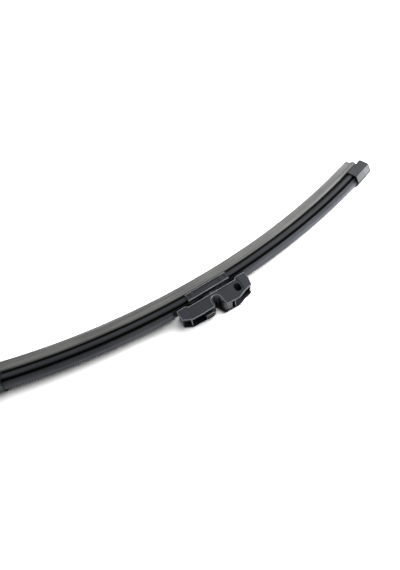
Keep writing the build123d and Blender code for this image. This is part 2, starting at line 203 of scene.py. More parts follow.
class RubberSizes(bpy.types.PropertyGroup):
    """Cross section of the wiping rubber, measured from the groove line."""

    head_half: length("Head half width", "Half the width of the head between the claws", 3.2)
    head_top: length("Head top", "Depth of the head's upper face", 2.35)
    slot_half: length("Slot half width", "Half the web left between the rail slots", 1.3)
    slot_top: length("Slot top", "Depth of the rail slots' upper face", 3.95)
    slot_bottom: length("Slot bottom", "Depth of the rail slots' lower face", 5.05)
    head_foot: length("Head foot", "Depth of the head's lower face", 6.65)
    neck_half: length("Neck half width", "Half the width of the thin neck", 0.8)
    shoulder_top: length("Shoulder top", "Depth of the shoulders at the neck", 9.35)
    shoulder_half: length("Shoulder half width", "Half the width over the shoulders", 3.9)
    shoulder_edge: length("Shoulder edge", "Depth of the shoulders' upper face at its outer end", 9.4)
    shoulder_round: length("Shoulder rounding", "Radius of the shoulders' outer edge", 2.0)
    shoulder_foot: length("Shoulder foot", "Depth where the flank starts", 11.85)
    lip_root: length("Lip root", "Depth where the lip starts", 15.3)
    lip_root_half: length("Lip root half width", "Half the lip's width at its root", 0.95)
    lip_step: length("Lip step", "Ledge between the flank and the lip", 0.5)
    lip_edge_half: length("Lip edge half width", "Half the width of the wiping edge", 0.35)
    lip_depth: length("Lip depth", "Depth of the wiping edge", 19.88)
    ridge_height: length("Ridge height", "How far the fine ridges of the flank stand up", 0.09)
    softness: length("Softness", "How far the moulded corners are rounded", 0.28)
    streak_depth: length("Streak depth", "Depth of the streaks in the surface", 0.06)
    ridges: IntProperty(name="Ridges", description="Fine ridges on each flank", default=4, min=0)


class SpoilerSizes(bpy.types.PropertyGroup):
    """Cross section of the spoilers: claws, groove, bead and fin."""

    channel_half: length("Channel half width", "Half the room for the rubber's head", 3.3)
    channel_top: length("Channel top", "Depth of the room above the rubber's head", 2.25)
    slot_half: length("Rail room half width", "Half the room for both rails", 5.8)
    slot_top: length("Rail room top", "Depth of the upper face round the rails", 3.95)
    slot_bottom: length("Rail room bottom", "Depth of the lower face round the rails", 5.05)
    hook_half: length("Hook half width", "Half the opening between the claws' hooks", 4.4)
    claw_bottom: length("Claw bottom", "Depth of the claws' lower edge", 6.0)
    claw_half: length("Claw half width", "Half the width over the claws", 6.7)
    claw_top: length("Claw top", "Depth of the claws' upper edge", 1.1)
    groove_half: length("Groove half width", "Half the width left in the groove", 3.7)
    bead_half: length("Bead half width", "Half the width over the bead", 5.6)
    bead_bottom: length("Bead bottom", "Height of the bead's lower edge", 0.45)
    bead_top: length("Bead top", "Height of the bead's upper edge", 0.85)
    fin_half: length("Fin half width", "Half the width of the fin at its foot", 5.35)
    fin_height: length("Fin height", "Height of the fin's tip", 5.3)
    fin_tip_half: length("Fin tip half width", "Half the width of the fin's tip", 0.65)
    hollow_front: length("Front hollow", "How far the fin's upper flank is hollowed", 0.6)
    hollow_rear: length("Rear hollow", "How far the fin's lower flank is hollowed", 0.4)
    foot_start: length("Foot start", "Where the claws start, from the middle", 20.3)
    fin_start_left: length("Left fin start", "Where the left fin starts, from the middle", 36.2)
    fin_start_right: length("Right fin start", "Where the right fin starts, from the middle", 34.2)
    softness: length("Softness", "How far the extruded corners are rounded", 0.3)
    shade_low: length("Lower shade", "How far the dark of the claws' lower edge reaches up", 1.8)
    shade_high: length("Upper shade", "How far the dark of the groove reaches down the claws", 1.5)
    streak_depth: length("Streak depth", "Depth of the streaks in the surface", 0.04)


class ConnectorSizes(bpy.types.PropertyGroup):
    """Where the painted highlights on the adapter's ribs and saddle lie, and the heights of the painted shade
    on faces below the pads.
    """

    ledge_place: length("Ledge place", "Where the saddle and the ribs end between the walls, along Y", -33.77)
    # how far the painted highlight on the rib fronts and saddle reaches
    ledge_depth: length("Ledge depth", "How far the rubbing reaches from there", 0.7)
    ledge_half: length("Ledge half width", "Half the room between the adapter's walls", 5.9)
    rib_start: length("Rib start", "Where the first rib beside the saddle starts, along X", 9.35)
    # the painted highlight grows over this span before the first rib
    rib_fade: length("Rib fade", "How far the rubbing takes to grow before that rib", 0.1)
    rib_place: length("Rib place", "Where the rib near the button ends, along Y", -29.17)
    # heights between which the painted shade on faces below the pads fades out
    pad_top: length("Pad top", "Height of the raised pads above the floor", 15.95)
    panel_top: length("Panel top", "Height of the base's sunk panels above the floor", 15.0)


class Finishes(bpy.types.PropertyGroup):
    """Colours, roughness and gloss of the blade's materials."""

    rubber_dark: colour("Rubber, dark", "Troughs of the rubber's streaks", 0.130, 0.131, 0.128)
    rubber_light: colour("Rubber, light", "Crests of the rubber's streaks", 0.270, 0.271, 0.266)
    rubber_roughness: roughness_pair("Rubber roughness", "On crests and in troughs", 0.5, 0.66)
    spoiler_dark: colour("Spoiler, dark", "Deep tone of the spoiler elastomer", 0.020, 0.021, 0.024)
    spoiler_light: colour("Spoiler, light", "Lighter extrusion streaks", 0.043, 0.045, 0.049)
    spoiler_roughness: roughness_pair("Spoiler roughness", "On crests and in troughs", 0.42, 0.55)
    elastomer_gloss: level("Elastomer gloss", "Specular level of rubber and spoilers", 0.06)
    plastic: colour("Connector plastic", "Moulded blue-grey of the connector", 0.0165, 0.0200, 0.0258)
    # painted highlight colour for the bevelled edges and rib fronts of the moulded parts
    plastic_edge_highlight: colour("Connector edge", "Rubbed edges of the connector", 0.68, 0.70, 0.73)
    plastic_roughness: roughness_pair("Connector roughness", "Over the moulded grain", 0.38, 0.52)
    plastic_gloss: level("Connector gloss", "Specular level of the connector", 0.25)
    button: colour("Button plastic", "Moulded tone of the release button", 0.016, 0.018, 0.021)
    button_roughness: roughness_pair("Button roughness", "Over the moulded grain", 0.36, 0.5)
    button_gloss: level("Button gloss", "Specular level of the release button", 0.04)
    cap: colour("Cap plastic", "Moulded tone of the end caps", 0.026, 0.027, 0.030)
    cap_roughness: roughness_pair("Cap roughness", "Over the moulded grain", 0.42, 0.56)
    cap_gloss: level("Cap gloss", "Specular level of the end caps", 0.2)
    steel: colour("Spring steel", "Rolled steel of the rails", 0.30, 0.30, 0.31)
    pin: colour("Pin steel", "Blackened steel of the pivot pin", 0.05, 0.05, 0.052)
    steel_roughness: roughness_pair("Steel roughness", "Over the fine marks", 0.28, 0.46)
    floor: colour("Floor", "Floor under the blade, as it lights the blade", 0.3, 0.3, 0.3)


class StudioSizes(bpy.types.PropertyGroup):
    """Camera, lamps and even light."""

    camera_place: point("Camera place", "Where the camera stands", -0.06079, -0.15793, 0.29552)
    azimuth: angle("Azimuth", "Turn of the camera round the vertical", -20.533)
    elevation: angle("Elevation", "Angle of the view below the horizon", 60.0)
    roll: angle("Roll", "Turn of the camera about its own axis", -12.505)
    lens: FloatProperty(
        name="Lens", description="Focal length in millimetres", default=24.185, unit="CAMERA"
    )
    key_place: point("Key lamp place", "Where the large soft lamp hangs", 0.26, 0.02, 0.33)
    key_power: power("Key lamp power", "Power of the large lamp", 1.95)
    key_width: length("Key lamp width", "Width of the large lamp", 500.0)
    low_place: point("Low lamp place", "Where the small lamp hangs low on the right", 0.5, -0.08, 0.2)
    low_power: power("Low lamp power", "Power of the small lamp", 1.7)
    low_width: length("Low lamp width", "Width of the small lamp", 250.0)
    floor_gain: level("Floor gain", "How much paler the floor shows than it lights the blade", 7.3)
    sky_back: level("Sky, back", "Light from above and behind", 0.36)
    sky_front: level("Sky, front", "Light from the camera's side", 0.02)


def feed(tree, term, socket):
    """Links a socket to another one, or writes a plain value into it."""
    if isinstance(term, bpy.types.NodeSocket):
        tree.links.new(term, socket)
    else:
        socket.default_value = term


def node(tree, kind, inputs=None, **options):
    """Adds a node, sets its options and feeds its named inputs."""
    made = tree.nodes.new(kind)
    for key, value in options.items():
        setattr(made, key, value)
    for key, term in (inputs or {}).items():
        feed(tree, term, made.inputs[key])
    return made


def maths(tree, operation, *terms):
    """One step of arithmetic, as its output socket."""
    made = node(tree, "ShaderNodeMath", operation=operation)
    for socket, term in zip(made.inputs, terms):
        feed(tree, term, socket)
    return made.outputs[0]


def curve_points(start, pull, end, steps):
    """Points of a smooth curve that leaves and arrives towards the pull point, with both ends."""
    points = []
    for step in range(steps + 1):
        share = step / steps
        points.append(start * (1 - share) ** 2 + pull * 2 * share * (1 - share) + end * share ** 2)
    return points


def bend(start, through, end, steps):
    """Points of a smooth curve between two points through a third, with both ends."""
    start, through, end = Vector(start), Vector(through), Vector(end)
    return curve_points(start, through * 2 - (start + end) / 2, end, steps)


def soften(outline):
    """Rounds the corners of a closed outline of (side, height, setback) points."""
    points = []
    for index, (side, height, setback) in enumerate(outline):
        corner = Vector((side, height))
        before = Vector(outline[index - 1][:2]) - corner
        after = Vector(outline[(index + 1) % len(outline)][:2]) - corner
        reach = min(setback, before.length * CORNER_SHARE, after.length * CORNER_SHARE)
        if reach < SHARP_REACH:
            points.append(corner)
            continue
        start = corner + before.normalized() * reach
        end = corner + after.normalized() * reach
        points += curve_points(start, corner, end, CORNER_STEPS)
    return points


def with_mirror(half):
    """A half outline on the upper side, closed by its mirror image on the lower side."""
    return half + [(-side, height, setback) for side, height, setback in reversed(half)]


def section_object(name, loops):
    """An object that holds closed outlines as loops of edges, with one flag for each loop."""
    mesh = bpy.data.meshes.new(name)
    vertices, edges, flags = [], [], []
    for label, points in loops.items():
        first = len(vertices)
        vertices += [(height, -side, 0.0) for side, height in points]
        flags += [label] * len(points)
        edges += [(first + i, first + (i + 1) % len(points)) for i in range(len(points))]
    mesh.from_pydata(vertices, edges, [])
    for label in loops:
        flag = mesh.attributes.new(label, "BOOLEAN", "POINT")
        flag.data.foreach_set("value", [other == label for other in flags])
    made = bpy.data.objects.new(name, mesh)
    bpy.context.scene.collection.objects.link(made)
    return made


def add_inputs(tree, kind, labels):
    """Adds inputs of one kind to a node group."""
    for label in labels:
        tree.interface.new_socket(label, in_out="INPUT", socket_type=kind)


def sweep_group():
    """Node group that carries a closed section along a stretch of the bow."""
    tree = bpy.data.node_groups.new(SWEEP_NAME, "GeometryNodeTree")
    add_inputs(tree, "NodeSocketGeometry", ["Section"])
    add_inputs(tree, "NodeSocketFloat", [*BOW_INPUTS, "Start", "End"])
    tree.interface.new_socket("Mesh", in_out="OUTPUT", socket_type="NodeSocketGeometry")
    given = node(tree, "NodeGroupInput").outputs
    run = maths(tree, "SUBTRACT", given["End"], given["Start"])
    facets = maths(tree, "CEIL", maths(tree, "DIVIDE", run, given["Step"]))
    start_angle = maths(tree, "DIVIDE", given["Start"], given["Bow Radius"])
    path = node(tree, "GeometryNodeCurveArc", {
        "Resolution": maths(tree, "ADD", facets, 1.0),
        "Radius": given["Bow Radius"],
        "Start Angle": maths(tree, "SUBTRACT", start_angle, math.pi / 2),
        "Sweep Angle": maths(tree, "DIVIDE", run, given["Bow Radius"]),
    }, mode="RADIUS")
    upright = node(tree, "GeometryNodeSetCurveNormal", {"Curve": path.outputs["Curve"]}, mode="Z_UP")
    centre = node(tree, "ShaderNodeCombineXYZ", {
        "Y": maths(tree, "ADD", given["Bow Radius"], given["Groove Line"]),
        "Z": given["Middle Plane"],
    })
    placed = node(tree, "GeometryNodeTransform", {
        "Geometry": upright.outputs[0], "Translation": centre.outputs[0],
    })
    loop = node(tree, "GeometryNodeMeshToCurve", {"Mesh": given["Section"]})
    skin = node(tree, "GeometryNodeCurveToMesh", {
        "Curve": placed.outputs[0], "Profile Curve": loop.outputs[0], "Fill Caps": True,
    })
    node(tree, "NodeGroupOutput", {"Mesh": skin.outputs[0]})
    return tree


def extrusion_tree(name, stretches):
    """Tree that sweeps each flagged loop of a section along its own stretch of the bow."""
    tree = bpy.data.node_groups.new(name, "GeometryNodeTree")
    add_inputs(tree, "NodeSocketGeometry", ["Section"])
    add_inputs(tree, "NodeSocketFloat", BOW_INPUTS)
    for stretch in stretches:
        add_inputs(tree, "NodeSocketFloat", [f"{stretch} Start", f"{stretch} End"])
    add_inputs(tree, "NodeSocketMaterial", ["Material"])
    tree.interface.new_socket("Mesh", in_out="OUTPUT", socket_type="NodeSocketGeometry")
    given = node(tree, "NodeGroupInput").outputs
    sweep = bpy.data.node_groups.get(SWEEP_NAME) or sweep_group()
    joined = node(tree, "GeometryNodeJoinGeometry")
    for stretch in stretches:
        flag = node(tree, "GeometryNodeInputNamedAttribute", {"Name": stretch}, data_type="BOOLEAN")
        loop = node(tree, "GeometryNodeSeparateGeometry", {
            "Geometry": given["Section"], "Selection": flag.outputs["Attribute"],
        }, domain="POINT")
        skin = node(tree, "GeometryNodeGroup", node_tree=sweep)
        feed(tree, loop.outputs["Selection"], skin.inputs["Section"])
        for label in BOW_INPUTS:
            feed(tree, given[label], skin.inputs[label])
        feed(tree, given[f"{stretch} Start"], skin.inputs["Start"])
        feed(tree, given[f"{stretch} End"], skin.inputs["End"])
        feed(tree, skin.outputs["Mesh"], joined.inputs[0])
    solid = node(tree, "GeometryNodeRealizeInstances", {"Geometry": joined.outputs[0]})
    painted = node(tree, "GeometryNodeSetMaterial", {
        "Geometry": solid.outputs[0], "Material": given["Material"],
    })
    node(tree, "NodeGroupOutput", {"Mesh": painted.outputs[0]})
    return tree


def smooth_outward(mesh):
    """Turns the faces outward and shades them smooth up to the sharp angle."""
    shape = bmesh.new()
    shape.from_mesh(mesh)
    bmesh.ops.recalc_face_normals(shape, faces=shape.faces)
    shape.to_mesh(mesh)
    shape.free()
    mesh.shade_smooth()
    mesh.set_sharp_from_angle(angle=SHARP_ANGLE)


def extruded_piece(name, loops, stretches, material, bow):
    """Sweeps a section along the bow and leaves the result as a plain mesh object."""
    tree = bpy.data.node_groups.get(f"{name} extrusion") or extrusion_tree(f"{name} extrusion", loops)
    holder = section_object(f"{name}_section", loops)
    modifier = holder.modifiers.new("Extrusion", "NODES")
    modifier.node_group = tree
    values = {
        "Bow Radius": bow.radius, "Groove Line": bow.groove_line,
        "Middle Plane": bow.middle_plane, "Step": bow.step, "Material": material,
    }
    for stretch, (start, end) in stretches.items():
        values[f"{stretch} Start"] = start
        values[f"{stretch} End"] = end
    for socket in tree.interface.items_tree:
        if socket.in_out == "INPUT" and socket.name in values:
            modifier[socket.identifier] = values[socket.name]
    evaluated = holder.evaluated_get(bpy.context.evaluated_depsgraph_get())
    mesh = bpy.data.meshes.new_from_object(evaluated)
    holder.modifiers.remove(modifier)
    bpy.data.objects.remove(holder)
    mesh.name = name
    smooth_outward(mesh)
    piece = bpy.data.objects.new(name, mesh)
    bpy.context.scene.collection.objects.link(piece)
    return piece


def rubber_shoulder(size):
    """Points round the outer edge of one shoulder."""
    inset = size.shoulder_round * (1 - math.sqrt(0.5))
    return bend(
        (size.shoulder_half - size.shoulder_round, -size.shoulder_edge),
        (size.shoulder_half - inset, -size.shoulder_edge - inset),
        (size.shoulder_half, -size.shoulder_edge - size.shoulder_round), SHOULDER_STEPS,
    )


def rubber_flank(size):
    """Points down one flank of the rubber, over its fine ridges."""
    start = Vector((size.shoulder_half, -size.shoulder_foot))
    end = Vector((size.lip_root_half + size.lip_step, -size.lip_root))
    outward = Vector((start.y - end.y, end.x - start.x)).normalized()
    points = []
    for ridge in range(size.ridges):
        for share, lift in RIDGE_POINTS:
            base = start.lerp(end, (ridge + share) / size.ridges)
            points.append(base + outward * lift * size.ridge_height)
    return points


def rubber_section(size):
    """Outline of the rubber: head with rail slots, neck, shoulders, flanks and lip."""
    soft = size.softness
    half = [
        (size.head_half, -size.head_top, soft),
        (size.head_half, -size.slot_top, soft / 2),
        (size.slot_half, -size.slot_top, soft / 2),
        (size.slot_half, -size.slot_bottom, soft / 2),
        (size.head_half, -size.slot_bottom, soft / 2),
        (size.head_half, -size.head_foot, soft),
        (size.neck_half, -size.head_foot, soft),
        (size.neck_half, -size.shoulder_top, soft),
        *[(spot.x, spot.y, soft) for spot in rubber_shoulder(size)],
        (size.shoulder_half, -size.shoulder_foot, soft),
        *[(spot.x, spot.y, size.ridge_height) for spot in rubber_flank(size)],
        (size.lip_root_half + size.lip_step, -size.lip_root, soft / 2),
        (size.lip_root_half, -size.lip_root, soft / 2),
        (size.lip_edge_half, -size.lip_depth, soft / 4),
    ]
    return soften(with_mirror(half))


def rubber_painted_shade(size):
    """Tone of the rubber by height: its own tone up to the shoulders, painted shade at the neck."""
    return [
        (-size.lip_depth, LIP_TONE),
        (-size.shoulder_edge - size.softness, LIP_TONE),
        (-size.shoulder_edge, NECK_SHADE),
    ]


def spoiler_foot(size):
    """Outline of the spoiler's foot: claws round the rails, groove and bead."""
    soft = size.softness
    middle = -(size.claw_top + size.claw_bottom) / 2
    claw_back = bend(
        (size.slot_half, -size.claw_bottom), (size.claw_half, middle),
        (size.slot_half, -size.claw_top), CLAW_STEPS,
    )
    half = [
        (size.channel_half, -size.channel_top, soft / 2),
        (size.channel_half, -size.slot_top, soft / 2),
        (size.slot_half, -size.slot_top, soft / 2),
        (size.slot_half, -size.slot_bottom, soft / 2),
        (size.hook_half, -size.slot_bottom, soft / 2),
        (size.hook_half, -size.claw_bottom, soft / 2),
        *[(spot.x, spot.y, soft / 2) for spot in claw_back],
        (size.groove_half, -size.claw_top, soft / 2),
        (size.groove_half, size.bead_bottom, soft / 2),
        (size.bead_half, size.bead_bottom, soft),
        (size.bead_half, size.bead_top, soft),
    ]
    return soften(with_mirror(half))


def spoiler_fin(size):
    """Outline of the fin: two hollow flanks and a round tip, sunk into the bead at its foot."""
    tip = Vector((size.fin_tip_half, size.fin_height - size.fin_tip_half))
    foot = Vector((size.fin_half, size.bead_top))
    outward = Vector((tip.y - foot.y, foot.x - tip.x)).normalized()
    front = bend(foot, (foot + tip) / 2 - outward * size.hollow_front, tip, FIN_STEPS)
    rear = bend(foot, (foot + tip) / 2 - outward * size.hollow_rear, tip, FIN_STEPS)
    crown = bend(tip, (0.0, size.fin_height), (-tip.x, tip.y), CROWN_STEPS)
    sunk = size.bead_top - size.softness
    outline = [Vector((size.fin_half, sunk)), *front, *crown[1:-1]]
    outline += [Vector((-spot.x, spot.y)) for spot in reversed(rear)]
    outline.append(Vector((-size.fin_half, sunk)))
    return outline


def spoiler_light_and_shade(size):
    """Painted light and shade of the spoilers by height: painted shade in the groove and under the claws,
    painted highlights on the claws and bead, and painted light rising to the fin's tip.
    """
    return [
        (-size.claw_bottom, HOOK_SHADE),
        (-size.claw_bottom + size.shade_low, CLAW_HIGHLIGHT),
        (-size.claw_top - size.shade_high, CLAW_HIGHLIGHT),
        (-size.claw_top, CLAW_EDGE_SHADE),
        (-size.claw_top + size.softness, GROOVE_SHADE),
        (size.bead_bottom, GROOVE_SHADE),
        (size.bead_top, BEAD_HIGHLIGHT),
        (size.bead_top + size.softness, FIN_FOOT_LIGHT),
        (size.fin_height, FIN_TIP_LIGHT),
    ]


def new_material(name):
    """An empty node material with its shader, linked to the output."""
    material = bpy.data.materials.new(name)
    material.use_nodes = True
    tree = material.node_tree
    tree.nodes.clear()
    shader = node(tree, "ShaderNodeBsdfPrincipled")
    node(tree, "ShaderNodeOutputMaterial", {"Surface": shader.outputs[0]})
    return material, tree, shader


def split(tree, vector):
    """The parts of a vector, by axis."""
    return node(tree, "ShaderNodeSeparateXYZ", {"Vector": vector}).outputs


def stretched(tree, vector, factors):
    """A vector with each part multiplied by its own factor."""
    made = node(tree, "ShaderNodeVectorMath", {0: vector, 1: factors}, operation="MULTIPLY")
    return made.outputs[0]


def shaded(tree, tone, gain):
    """A colour made deeper or paler by a factor."""
    made = node(tree, "ShaderNodeVectorMath", {0: tone, "Scale": gain}, operation="SCALE")
    return made.outputs[0]


def noise(tree, vector, scale=1.0, detail=2.0, roughness=0.5):
    """A smooth random value at a place."""
    return node(tree, "ShaderNodeTexNoise", {
        "Vector": vector, "Scale": scale, "Detail": detail, "Roughness": roughness,
    }).outputs["Fac"]


def ramp(tree, value, span, result=(0.0, 1.0)):
    """Maps a span of values to another one, without going past its ends."""
    return node(tree, "ShaderNodeMapRange", {
        "Value": value, "From Min": span[0], "From Max": span[1],
        "To Min": result[0], "To Max": result[1],
    }).outputs["Result"]


def blend_colours(tree, share, first, second):
    """A mix of two colours, each plain or from a socket."""
    made = node(tree, "ShaderNodeMix", data_type="RGBA")
    feed(tree, share, made.inputs["Factor"])
    colour_inputs = [s for s in made.inputs if s.type == "RGBA"]
    for socket, term in zip(colour_inputs, (first, second)):
        feed(tree, term if isinstance(term, bpy.types.NodeSocket) else (*term, 1.0), socket)
    return [s for s in made.outputs if s.type == "RGBA"][0]


def relief(tree, shader, height, strength, depth):
    """Feeds a height into the shader's normal."""
    bump = node(tree, "ShaderNodeBump", {"Height": height, "Strength": strength, "Distance": depth})
    feed(tree, bump.outputs["Normal"], shader.inputs["Normal"])


def by_height(tree, height, stops):
    """A factor that follows rising (height, factor) stops."""
    low, high = stops[0][0], stops[-1][0]
    peak = max(factor for stop, factor in stops)
    curve = node(tree, "ShaderNodeValToRGB", {"Fac": ramp(tree, height, (low, high))})
    marks = curve.color_ramp.elements
    while len(marks) < len(stops):
        marks.new(0.5)
    for mark, (stop, factor) in zip(marks, stops):
        mark.position = (stop - low) / (high - low)
        mark.color = (factor / peak, factor / peak, factor / peak, 1.0)
    return maths(tree, "MULTIPLY", curve.outputs["Color"], peak)


def bow_coordinates():
    """Shader group that gives the place along the bow, the height and the side of a point."""
    known = bpy.data.node_groups.get(COORDINATES_NAME)
    if known:
        return known
    bow = bpy.context.scene.blade_bow
    tree = bpy.data.node_groups.new(COORDINATES_NAME, "ShaderNodeTree")
    tree.interface.new_socket("Vector", in_out="OUTPUT", socket_type="NodeSocketVector")
    place = split(tree, node(tree, "ShaderNodeTexCoord").outputs["Object"])
    inward = maths(tree, "SUBTRACT", bow.radius + bow.groove_line, place["Y"])
    squares = maths(tree, "ADD", maths(tree, "POWER", place["X"], 2.0), maths(tree, "POWER", inward, 2.0))
    height = maths(tree, "SUBTRACT", maths(tree, "SQRT", squares), bow.radius)
    along = maths(tree, "MULTIPLY", maths(tree, "ARCTAN2", place["X"], inward), bow.radius)
    side = maths(tree, "SUBTRACT", place["Z"], bow.middle_plane)
    vector = node(tree, "ShaderNodeCombineXYZ", {"X": along, "Y": height, "Z": side})
    node(tree, "NodeGroupOutput", {"Vector": vector.outputs[0]})
    return tree


def bow_place(tree):
    """The shaded point in bow coordinates."""
    return node(tree, "ShaderNodeGroup", node_tree=bow_coordinates()).outputs[0]


def extruded_material(name, dark, light, roughness, streak_depth, stops, cut=1.0):
    """Extruded elastomer: streaks along the bow, cloudy tone and a fine matt grain.

    The stops make the tone deeper or paler by height: painted shade and painted light.
    Faces cut across the bow are paler by the factor in cut.
    """
    material, tree, shader = new_material(name)
    smooth, rough = roughness
    bow = bow_place(tree)
    streaks = noise(tree, stretched(tree, bow, STREAK_STRETCH), detail=3.0, roughness=0.6)
    clouds = noise(tree, stretched(tree, bow, CLOUD_STRETCH))
    grain = noise(tree, bow, scale=ELASTOMER_GRAIN)
    streaked = maths(tree, "MULTIPLY", streaks, STREAK_SHARE)
    tone = maths(tree, "ADD", streaked, maths(tree, "MULTIPLY", clouds, 1.0 - STREAK_SHARE))
    facing = split(tree, node(tree, "ShaderNodeTexCoord").outputs["Normal"])
    across = maths(tree, "ABSOLUTE", facing["X"])
    # painted light and shade by height, from the stops
    painted_shading = by_height(tree, split(tree, bow)["Y"], stops)
    gain = maths(tree, "MULTIPLY", painted_shading, ramp(tree, across, CUT_SPAN, (1.0, cut)))
    body = blend_colours(tree, ramp(tree, tone, TONE_SPAN), dark, light)
    feed(tree, shaded(tree, body, gain), shader.inputs["Base Color"])
    sheen = ramp(tree, tone, SHEEN_SPAN, (rough, smooth))
    dull = ramp(tree, painted_shading, (0.0, 1.0), (DEEP_ROUGHNESS, 0.0))
    feed(tree, maths(tree, "ADD", sheen, dull), shader.inputs["Roughness"])
    shader.inputs["Specular IOR Level"].default_value = bpy.context.scene.blade_finish.elastomer_gloss
    height = maths(tree, "ADD", streaks, maths(tree, "MULTIPLY", grain, GRAIN_HEIGHT))
    relief(tree, shader, height, STREAK_RELIEF, streak_depth)
    return material


def bevel_highlight_mask(tree, turn, clouds):
    """Painted highlights on bevels, in patches, weaker on faces turned to the right and to the front."""
    parts = [maths(tree, "ABSOLUTE", turn[axis]) for axis in "XYZ"]
    straight = maths(tree, "MAXIMUM", maths(tree, "MAXIMUM", parts[0], parts[1]), parts[2])
    bevel_highlight = ramp(tree, straight, BEVEL_SPAN, (1.0, 0.0))
    # less painted highlight on faces turned to the right and to the front, as the light falls
    bevel_highlight = maths(tree, "MULTIPLY", bevel_highlight, ramp(tree, turn["X"], RIGHT_SPAN, RIGHT_HIGHLIGHT))
    bevel_highlight = maths(tree, "MULTIPLY", bevel_highlight, ramp(tree, turn["Y"], FRONT_SPAN, FRONT_HIGHLIGHT))
    return maths(tree, "MULTIPLY", bevel_highlight, ramp(tree, clouds, PATCH_SPAN, PATCH_HIGHLIGHT))


def ledge_highlight_mask(tree, place, turn):
    """Painted highlights on faces to the front, between the adapter's walls, on the ribs and the saddle."""
    size, bow = bpy.context.scene.blade_connector, bpy.context.scene.blade_bow
    saddle = maths(tree, "COMPARE", place["Y"], size.ledge_place, size.ledge_depth)
    fade_span = (size.rib_start - size.rib_fade, size.rib_start)
    saddle = maths(tree, "MULTIPLY", saddle, ramp(tree, place["X"], fade_span, (SADDLE_HIGHLIGHT, 1.0)))
    rib = maths(tree, "COMPARE", place["Y"], size.rib_place, size.ledge_depth)
    near = maths(tree, "MAXIMUM", saddle, rib)
    between = maths(tree, "COMPARE", place["Z"], bow.middle_plane, size.ledge_half)
    front = ramp(tree, turn["Y"], LEDGE_SPAN, (1.0, 0.0))
    return maths(tree, "MULTIPLY", maths(tree, "MULTIPLY", near, between), front)


def moulded_material(name, tone, edge_highlight, roughness, gloss):
    """Moulded plastic: fine eroded grain, a cloudy tone, painted highlights on edges and rib fronts, and
    painted shade on faces below the pads.
    """
    material, tree, shader = new_material(name)
    size = bpy.context.scene.blade_connector
    given = node(tree, "ShaderNodeTexCoord").outputs
    place, turn = split(tree, given["Object"]), split(tree, given["Normal"])
    grain = noise(tree, given["Object"], scale=PLASTIC_GRAIN, detail=3.0, roughness=0.6)
    clouds = noise(tree, given["Object"], scale=PLASTIC_CLOUDS, detail=3.0)
    # painted highlights on bevels and on rib fronts
    painted_highlight = maths(tree, "MAXIMUM", bevel_highlight_mask(tree, turn, clouds), ledge_highlight_mask(tree, place, turn))
    darker, lighter = [tuple(part * factor for part in tone) for factor in PLASTIC_TONES]
    body = blend_colours(tree, ramp(tree, clouds, SHEEN_SPAN), darker, lighter)
    # painted shade: faces lower than the pads' top are darker
    recess_shade = ramp(tree, place["Z"], (size.panel_top, size.pad_top), (SUNK_SHADE, 1.0))
    painted_shading = blend_colours(tree, painted_highlight, shaded(tree, body, recess_shade), edge_highlight)
    feed(tree, painted_shading, shader.inputs["Base Color"])
    feed(tree, ramp(tree, grain, GRAIN_SPAN, roughness), shader.inputs["Roughness"])
    shader.inputs["Specular IOR Level"].default_value = gloss
    relief(tree, shader, grain, PLASTIC_RELIEF, PLASTIC_GRAIN_DEPTH)
    return material


def steel_material(name, tone, roughness, factors):
    """Bare steel with fine marks along one direction, set by how each axis is stretched."""
    material, tree, shader = new_material(name)
    marks = noise(tree, stretched(tree, bow_place(tree), factors), detail=3.0, roughness=0.6)
    darker = tuple(part * STEEL_MARK_TONE for part in tone)
    feed(tree, blend_colours(tree, marks, darker, tone), shader.inputs["Base Color"])
    feed(tree, ramp(tree, marks, GRAIN_SPAN, roughness), shader.inputs["Roughness"])
    shader.inputs["Metallic"].default_value = 1.0
    relief(tree, shader, marks, STEEL_RELIEF, STEEL_MARK_DEPTH)
    return material


def finish_node(name, material):
    """Gives a CAD node its finish."""
    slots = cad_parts[name].data.materials
    slots.clear()
    slots.append(material)


def seen_rays(tree):
    """One for rays that show the background: to the camera, in a reflection or through glass."""
    path = node(tree, "ShaderNodeLightPath").outputs
    mirrored = maths(tree, "MAXIMUM", path["Is Glossy Ray"], path["Is Transmission Ray"])
    return maths(tree, "MAXIMUM", path["Is Camera Ray"], mirrored)


def floor_material(finish, studio):
    """Matt floor that shows white but lights the blade as a grey one."""
    material = bpy.data.materials.new("Pale floor")
    material.use_nodes = True
    tree = material.node_tree
    tree.nodes.clear()
    place = node(tree, "ShaderNodeTexCoord").outputs["Object"]
    clouds = noise(tree, place, scale=FLOOR_CLOUDS)
    darker = tuple(part * FLOOR_CLOUD_TONE for part in finish.floor)
    tone = blend_colours(tree, clouds, darker, finish.floor)
    away = node(tree, "ShaderNodeVectorMath", {0: place}, operation="LENGTH").outputs["Value"]
    gain = ramp(tree, away, GLOW_SPAN, (studio.floor_gain, studio.floor_gain * GLOW_RISE))
    grey = node(tree, "ShaderNodeBsdfDiffuse", {"Color": tone}).outputs[0]
    pale = node(tree, "ShaderNodeBsdfDiffuse", {"Color": shaded(tree, tone, gain)}).outputs[0]
    shown = node(tree, "ShaderNodeMixShader", {0: seen_rays(tree), 1: grey, 2: pale})
    node(tree, "ShaderNodeOutputMaterial", {"Surface": shown.outputs[0]})
    return material


def add_floor(scene):
    """A wide pale floor under the blade."""
    corners = [(x * FLOOR_REACH, y * FLOOR_REACH, 0) for x, y in ((-1, -1), (1, -1), (1, 1), (-1, 1))]
    mesh = bpy.data.meshes.new("floor")
    mesh.from_pydata(corners, [], [(0, 1, 2, 3)])
    mesh.materials.append(floor_material(scene.blade_finish, scene.blade_studio))
    floor = bpy.data.objects.new("floor", mesh)
    scene.collection.objects.link(floor)


def add_lamp(name, place, watts, width):
    """A square lamp that points at the middle of the blade."""
    lamp = bpy.data.lights.new(name, "AREA")
    lamp.energy = watts
    lamp.size = width
    made = bpy.data.objects.new(name, lamp)
    made.location = place
    made.rotation_euler = Vector(place).to_track_quat("Z", "Y").to_euler()
    bpy.context.scene.collection.objects.link(made)


